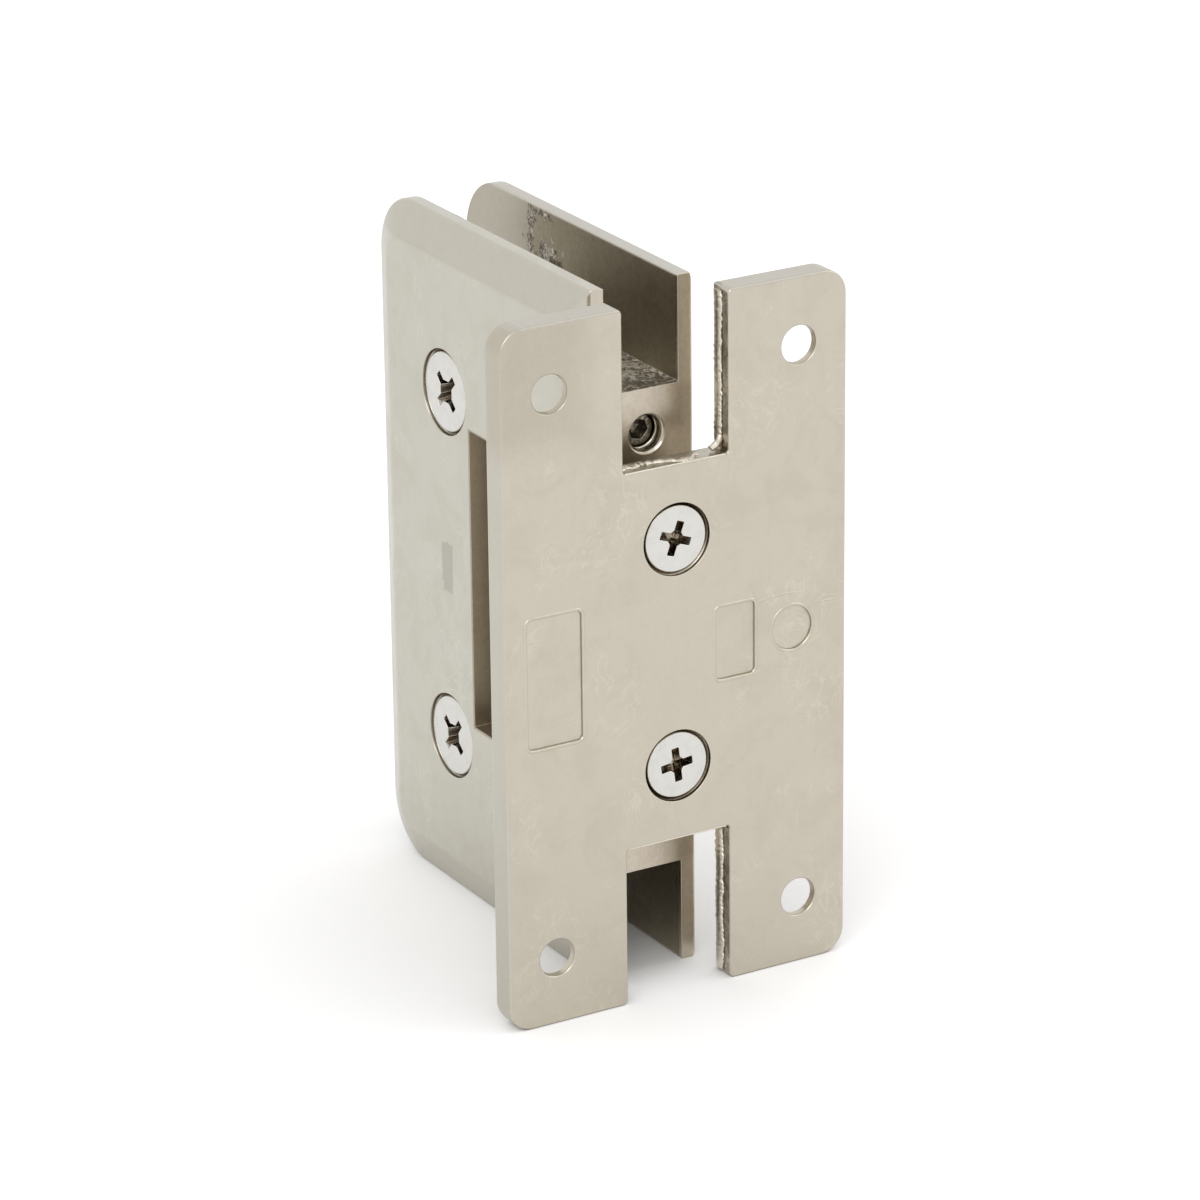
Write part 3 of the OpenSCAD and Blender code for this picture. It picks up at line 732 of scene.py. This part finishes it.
bright_nickel, tree, shader = principled("bright_nickel", Metallic=1.0)
place = own_place(tree)
plating = grouped(tree, cloudy_plating, Vector=place, Broad=260.0, Fine=1500.0)
scuffs = ramp(tree, noise_value(tree, place, 2600.0, 4.0, 0.7, 3.0), 0.55, 0.75)
# Painted shade: the crossed recess darker inside.
recess_shade = grouped(tree, painted_corner_shade, Reach=0.002)["Mask"]
tone = added(tree, (plating["Cloud"], 0.5), (scuffs, 0.4))
colour = blended(tree, tone, (0.70, 0.69, 0.655), (0.63, 0.615, 0.58))
colour = blended(tree, ramp(tree, recess_shade, 0.15, 0.55), colour, (0.27, 0.22, 0.16))
roughness = added(tree, (plating["Cloud"], 0.08), (scuffs, 0.12), (1.0, 0.16))
surface(tree, shader, colour, roughness, added(tree, (plating["Waves"], 0.02 * MM), (scuffs, -0.002 * MM)))


def pair_of_screws(name, upper_node, lower_node, along, facing, turns, **sizes):
    """Two like screws along an axis (X is 0, Y is 1), in their nodes' places, turned by degrees."""
    head_d, length, upper = screw_size(upper_node, along)
    lower = screw_size(lower_node, along)[2]
    first_turn, second_turn = (math.radians(turn) for turn in turns)
    return grown(crossed_screw(name, head_d, length, **sizes), screw_pair, {
        "First place": upper, "Second place": lower, "Facing": [math.radians(turn) for turn in facing],
        "First turn": first_turn, "Second turn": second_turn, "Material": bright_nickel})


block_screws = pair_of_screws("block_screws", "block_screw_upper", "block_screw_lower", along=1,
                              facing=(-90, 0, 0), turns=(20, -7),
                              thread_d=4.96, cross_d=4.4, arm_w=1.0, heart_r=1.15, depth=1.8)
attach(block_screws, "wall_side")
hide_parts("block_screw_upper", "block_screw_lower")
clamp_screws = pair_of_screws("clamp_screws", "clamp_screw_upper", "clamp_screw_lower", along=0,
                              facing=(0, 90, 0), turns=(45, 40),
                              thread_d=5.96, cross_d=5.6, arm_w=1.05, heart_r=1.6, depth=2.4)
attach(clamp_screws, "glass_side")
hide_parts("clamp_screw_upper", "clamp_screw_lower")


# Casting flash
# Where the halves of the mould met, a ragged fin was sheared off the walls of
# both notches. It left a broad broken ridge, folded over in one corner. The
# stamped marking fields have lips of metal that the stamp pushed up.
swept, takes, gives = geometry_tree("swept", {
    "Radius": 0.001, "Sides": 8, "Step": 0.0002, "Ragged": 0.0, "Wander": 0.0, "Crust": 0.0, "Seed": 0.0,
    "Material": None})
path = put(swept, "GeometryNodeResampleCurve", {"Curve": takes["Geometry"], "Length": takes["Step"]},
           mode="LENGTH").outputs[0]
spot = put(swept, "GeometryNodeInputPosition").outputs[0]
lumps = put(swept, "ShaderNodeTexNoise", {"Vector": spot, "W": takes["Seed"], "Scale": 1300.0, "Detail": 4.0,
            "Roughness": 0.65}, noise_dimensions="4D").outputs
drift = vectors(swept, "SUBTRACT", lumps["Color"], (0.5, 0.5, 0.5))
drift = put(swept, "ShaderNodeVectorMath", {0: drift, "Scale": takes["Wander"]}, operation="SCALE").outputs[0]
path = put(swept, "GeometryNodeSetPosition", {"Geometry": path, "Offset": drift}).outputs[0]
section = put(swept, "GeometryNodeCurvePrimitiveCircle", {"Resolution": takes["Sides"], 4: takes["Radius"]},
              mode="RADIUS").outputs[0]
thinnest = 0.05
swell = maths(swept, "MULTIPLY", maths(swept, "SUBTRACT", lumps["Fac"], 0.5), takes["Ragged"])
swell = maths(swept, "MAXIMUM", maths(swept, "ADD", swell, 1.0), thinnest)
tube = put(swept, "GeometryNodeCurveToMesh", {"Curve": path, "Profile Curve": section, "Scale": swell,
           "Fill Caps": True}).outputs[0]
grit = put(swept, "ShaderNodeTexNoise", {"Vector": spot, "W": takes["Seed"], "Scale": 3200.0, "Detail": 3.0},
           noise_dimensions="4D").outputs["Fac"]
grit = maths(swept, "MULTIPLY", maths(swept, "SUBTRACT", grit, 0.5), takes["Crust"])
outward = put(swept, "GeometryNodeInputNormal").outputs[0]
outward = put(swept, "ShaderNodeVectorMath", {0: outward, "Scale": grit}, operation="SCALE").outputs[0]
tube = put(swept, "GeometryNodeSetPosition", {"Geometry": tube, "Offset": outward}).outputs[0]
finished_tree(swept, tube, takes["Material"], gives)


def path_piece(name, lines, closed=False):
    """Curve object along lines of points in millimetres."""
    curve = bpy.data.curves.new(name, "CURVE")
    curve.dimensions = "3D"
    for points in lines:
        spline = curve.splines.new("POLY")
        spline.points.add(len(points) - 1)
        spline.use_cyclic_u = closed
        for point, corner in zip(spline.points, points):
            point.co = (*(c * MM for c in corner), 1)
    return linked(name, curve)


def swept_piece(name, lines, material, radius, sides, step, ragged=0.0, wander=0.0, crust=0.0, seed=0.0,
                closed=False):
    """Round bead along lines of points, its sizes in millimetres.

    ragged is how much its thickness varies, wander how far it strays and crust how
    rough its surface is.
    """
    return grown(path_piece(name, lines, closed), swept, {
        "Radius": radius * MM, "Sides": sides, "Step": step * MM, "Ragged": ragged, "Wander": wander * MM,
        "Crust": crust * MM, "Seed": seed, "Material": material})


# The ridges are broader than they are high, so their lines are laid out that much
# nearer to the wall face and the ridges are then stretched.
breadth, tip_z = 2.5, 43.8
floor_line = [(-7.3, 1.9), (-5.4, 2.1), (-4.4, 2.2), (-3.3, 2.35), (-1.5, 2.1), (-0.4, 1.75), (0.8, 1.4),
              (1.5, 1.05), (2.4, 1.15), (3.3, 1.6), (4.0, 2.15)]
right_line = [(2.4, tip_z), (2.35, 40), (2.5, 35), (2.35, 31), (2.5, 25)]
left_line = [(2.5, tip_z), (2.4, 24.6)]
wall_ridges = []
floor_ridges = []
for end in (1, -1):
    wall_ridges.append([(notch_x, y / breadth, end * z) for y, z in right_line])
    wall_ridges.append([(-notch_x, y / breadth, end * z) for y, z in left_line])
    floor_ridges.append([(x, y / breadth, end * notch_z) for x, y in floor_line])
flash_nickel = cast_nickel(
    "flash_nickel", light=(0.78, 0.74, 0.65), dark=(0.62, 0.575, 0.48), corner_shade_colour=(0.16, 0.13, 0.09),
    waves=0.02, brush=0.0, rough=(0.32, 0.44), reach=0.35)
flash = swept_piece("casting_flash", wall_ridges, flash_nickel, radius=0.32, sides=14, step=0.12,
                    ragged=1.3, wander=0.3, crust=0.26, seed=3.0)
floor_flash = swept_piece("floor_flash", floor_ridges, flash_nickel, radius=0.24, sides=12, step=0.11,
                          ragged=1.9, wander=0.5, crust=0.24, seed=7.0)
for ridge in (flash, floor_flash):
    ridge.data.transform(Matrix.Diagonal((1, breadth, 1, 1)))

# The floors' front edges are rolled over, and one corner has a folded burr.
rolled_line = [(-7.1, 0.16, 23.99), (-2, 0.14, 24.0), (3, 0.15, 23.99), (6.8, 0.16, 24.0)]
rolled_lines = [[(x, y, end * z) for x, y, z in rolled_line] for end in (1, -1)]
rolled_edge = swept_piece("rolled_edge", rolled_lines, flash_nickel, radius=0.12, sides=8, step=0.2,
                          ragged=0.5, wander=0.04, seed=4.0)
burr_lines = [[(7.25, 1.9, 25.7), (6.9, 1.65, 25.2), (6.3, 1.5, 24.85), (5.6, 1.4, 24.5)],
              [(-3.35, 1.5, 24.15), (-3.0, 1.45, 24.2)]]
burr = swept_piece("folded_burr", burr_lines, flash_nickel, radius=0.42, sides=9, step=0.14,
                   ragged=0.7, wander=0.25, crust=0.2, seed=9.0)


def arc(x, z, radius, start, sweep=90, steps=8):
    """Points of an arc just behind the wall face, in degrees."""
    lip_y = 0.14
    angles = (math.radians(start + sweep * i / steps) for i in range(steps + 1))
    return [(x + radius * math.cos(a), lip_y, z + radius * math.sin(a)) for a in angles]


def field_loop(left, right, half_height, corner=0.8, out=0.1):
    """Outline of a marking field, a little outside its edge."""
    low, high, r = left + corner, right - corner, corner + out
    top = half_height - corner
    return arc(high, top, r, 0) + arc(low, top, r, 90) + arc(low, -top, r, 180) + arc(high, -top, r, 270)


field_lines = [field_loop(-20.8, -13.1, 8.35), field_loop(5.3, 11.0, 4.75), arc(16.2, 0, 3.0, 0, 352.5, 47)]
stamp_lips = swept_piece("stamp_lips", field_lines, plate_nickel, radius=0.24, sides=10, step=0.25,
                         ragged=0.3, wander=0.07, seed=5.0, closed=True)
mould_lines = [[(11.1, 0.11, 4.2), (13, 0.10, 4.5), (15.2, 0.10, 4.6), (17.3, 0.11, 4.4)],
               [(18.6, 0.11, 2.7), (21, 0.10, 2.55), (23.1, 0.11, 2.45)]]
mould_step = swept_piece("mould_step", mould_lines, plate_nickel, radius=0.14, sides=8, step=0.2,
                         ragged=0.6, wander=0.12, seed=2.0)
for trace in (flash, floor_flash, rolled_edge, burr, stamp_lips, mould_step):
    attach(trace, "wall_side")


# Set screw and its thread
# A blackened socket set screw in the core's upper end locks the pin. In front
# of it the tapped hole shows its last turns, behind a countersunk mouth.
screw_x, into_core = 0.7, math.radians(-90)
mouth_line = ((2.72, 8.04), (2.59, 8.02), (2.4, 8.25), (2.26, 8.5), (2.2, 8.85), (2.12, 9.05), (2.12, 9.12),
              (2.72, 9.45))
cut_nickel = cast_nickel(
    "cut_nickel", light=(0.78, 0.73, 0.64), dark=(0.66, 0.61, 0.52), corner_shade_colour=(0.34, 0.29, 0.22),
    waves=0.02, brush=0.001, rough=(0.18, 0.28), reach=0.35)
form = turned([(r, y - clamp_y) for r, y in mouth_line], 48, closed=True)
bmesh.ops.rotate(form, matrix=Matrix.Rotation(into_core, 3, "X"), verts=form.verts)
bmesh.ops.translate(form, vec=(screw_x, clamp_y, knuckle_z), verts=form.verts)
hole_mouth = new_piece("hole_mouth", form)
plated(hole_mouth, cut_nickel)
for face in hole_mouth.data.polygons:
    face.use_smooth = True
hole_r, thread_y, pitch, steps_round, steps = 2.45, 9.65, 0.8, 36, 40
angles = [math.tau * i / steps_round for i in range(steps)]
thread = [(screw_x + hole_r * math.sin(a), thread_y + pitch * a / math.tau, knuckle_z + hole_r * math.cos(a))
          for a in angles]
tapped_hole = swept_piece("tapped_hole", [thread], cut_nickel, radius=0.3, sides=6, step=0.25)
for cut in (hole_mouth, tapped_hole):
    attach(cut, "glass_side")

black_steel, tree, shader = principled("blackened_steel", Metallic=1.0)
place = own_place(tree)
# Pale patches and edges: wear, and painted highlights on the socket's facets.
wear_and_glints = ramp(tree, noise_value(tree, place, 1000.0, 4.0, 0.6, 2.0), 0.5, 0.62)
wear_and_glints = maths(tree, "MAXIMUM", wear_and_glints, grouped(tree, edge_wear_and_sheen, Radius=0.0002)["Mask"])
# Painted shade: the socket darker deep inside.
recess_shade = grouped(tree, painted_corner_shade, Reach=0.0014)["Mask"]
colour = blended(tree, wear_and_glints, (0.26, 0.23, 0.185), (0.80, 0.76, 0.68))
colour = blended(tree, ramp(tree, recess_shade, 0.3, 0.8), colour, (0.10, 0.085, 0.065))
pits = noise_value(tree, place, 2500.0, 3.0)
surface(tree, shader, colour, ramp(tree, wear_and_glints, 0.0, 1.0, 0.36, 0.22), pits, depth=0.03 * MM)

face_y, tip_y, cup_r, thread_r = 10.05, 20.6, 1.98, 2.48
screw_line = ((1.85, face_y), (1.98, 10.08), (2.06, 10.16), (thread_r, 10.5), (thread_r, tip_y - 0.5),
              (cup_r, tip_y))
set_screw = new_piece("set_screw", turned([(r, y - face_y) for r, y in screw_line], 48))
socket_line = ((1.4, -0.5), (1.32, 2.0), (0.3, 2.7))
cut_out(set_screw, new_piece("socket", turned(socket_line, sides=6, turn=math.tau / 30)))
set_screw = rounded(set_screw, fine_edges(0.05), 2)
set_screw.data.transform(Matrix.Translation((screw_x * MM, face_y * MM, knuckle_z * MM))
                         @ Matrix.Rotation(into_core, 4, "X"))
plated(set_screw, black_steel)
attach(set_screw, "glass_side")
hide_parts("pin_set_screw")


# Pivot block
# The block that carries the pin, screwed to the wall plate from behind. Cast
# and plated as the clamp body is.
def block_edge_radius(middle, angle):
    """Soft edges, and keen ones where the block meets the plate."""
    return 0.25 if middle.y > plate_y + 0.2 else 0.05


block = rounded(joined_copy("pivot_block", "pin_block"), block_edge_radius)
plated(block, clamp_nickel)
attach(block, "wall_side")
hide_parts("pivot_block")


# Pin and rollers
# Ground steel, with fine rings left by the grinding wheel.
ground_steel, tree, shader = principled("ground_steel", Metallic=1.0)
rings = noise_value(tree, vectors(tree, "MULTIPLY", own_place(tree), (300, 300, 16000)), 1.0, 3.0)
colour = blended(tree, rings, (0.60, 0.60, 0.60), (0.50, 0.50, 0.51))
surface(tree, shader, colour, ramp(tree, rings, 0.2, 0.8, 0.18, 0.32), rings, depth=0.0015 * MM)
for node in ("pivot_pin", "detent_roller_upper", "detent_roller_lower"):
    nodes[node].data.materials[0] = ground_steel


# Bushings and plungers
# Pressed from bronze powder and oiled, so that the surface is fine pores.
bronze, tree, shader = principled("sintered_bronze", Metallic=1.0)
place = own_place(tree)
pores = ramp(tree, noise_value(tree, place, 9000.0, 2.0, 0.7), 0.58, 0.7)
oil = noise_value(tree, place, 400.0, 4.0)
colour = blended(tree, pores, (0.55, 0.40, 0.22), (0.20, 0.13, 0.07))
surface(tree, shader, colour, ramp(tree, oil, 0.3, 0.7, 0.28, 0.48), pores, depth=-0.02 * MM)
for node in ("bushing_upper", "bushing_lower", "detent_plunger_upper", "detent_plunger_lower"):
    nodes[node].data.materials[0] = bronze


# Thrust washers
# Natural nylon, stamped from sheet, a little translucent and scuffed by turning.
nylon, tree, shader = principled("natural_nylon", **{"Subsurface Weight": 0.2, "Subsurface Scale": 0.001})
haze = noise_value(tree, own_place(tree), 500.0, 4.0)
colour = blended(tree, haze, (0.80, 0.78, 0.70), (0.70, 0.67, 0.58))
surface(tree, shader, colour, ramp(tree, haze, 0.3, 0.7, 0.35, 0.55), haze, depth=0.02 * MM)
for node in ("thrust_washer_upper", "thrust_washer_lower"):
    nodes[node].data.materials[0] = nylon


# Detent springs
# Coiled from round wire with closed ends, oiled and a little brown. They lie in
# their bores behind the wall plate and push the plungers.
spring_steel, tree, shader = principled("spring_steel", Metallic=1.0)
brown = noise_value(tree, own_place(tree), 700.0, 4.0)
colour = blended(tree, brown, (0.36, 0.35, 0.34), (0.24, 0.20, 0.16))
surface(tree, shader, colour, ramp(tree, brown, 0.3, 0.7, 0.25, 0.4), brown, depth=0.01 * MM)


def coil(height, wire_d, coil_d, length, turns, start):
    """Points of a compression spring's wire along Y, its end turns closed."""
    steps = 24
    closed_pitch = 1.05 * wire_d
    open_pitch = (length - 3.1 * wire_d) / (turns - 2)
    points = []
    for i in range(int(turns * steps) + 1):
        t = i / steps
        closed_turns = min(t, 1) + max(t - turns + 1, 0)
        open_turns = min(max(t - 1, 0), turns - 2)
        rise = wire_d / 2 + closed_pitch * closed_turns + open_pitch * open_turns
        angle = math.tau * t
        points.append((coil_d / 2 * math.cos(angle), start + rise, height + coil_d / 2 * math.sin(angle)))
    return points


wire_d = 0.9
coils = [coil(height, wire_d, coil_d=5.5, length=9.41, turns=7, start=4.02) for height in (6, -6)]
springs = swept_piece("springs", coils, spring_steel, radius=wire_d / 2, sides=12, step=0.4)
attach(springs, "wall_side")
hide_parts("detent_spring_upper", "detent_spring_lower")
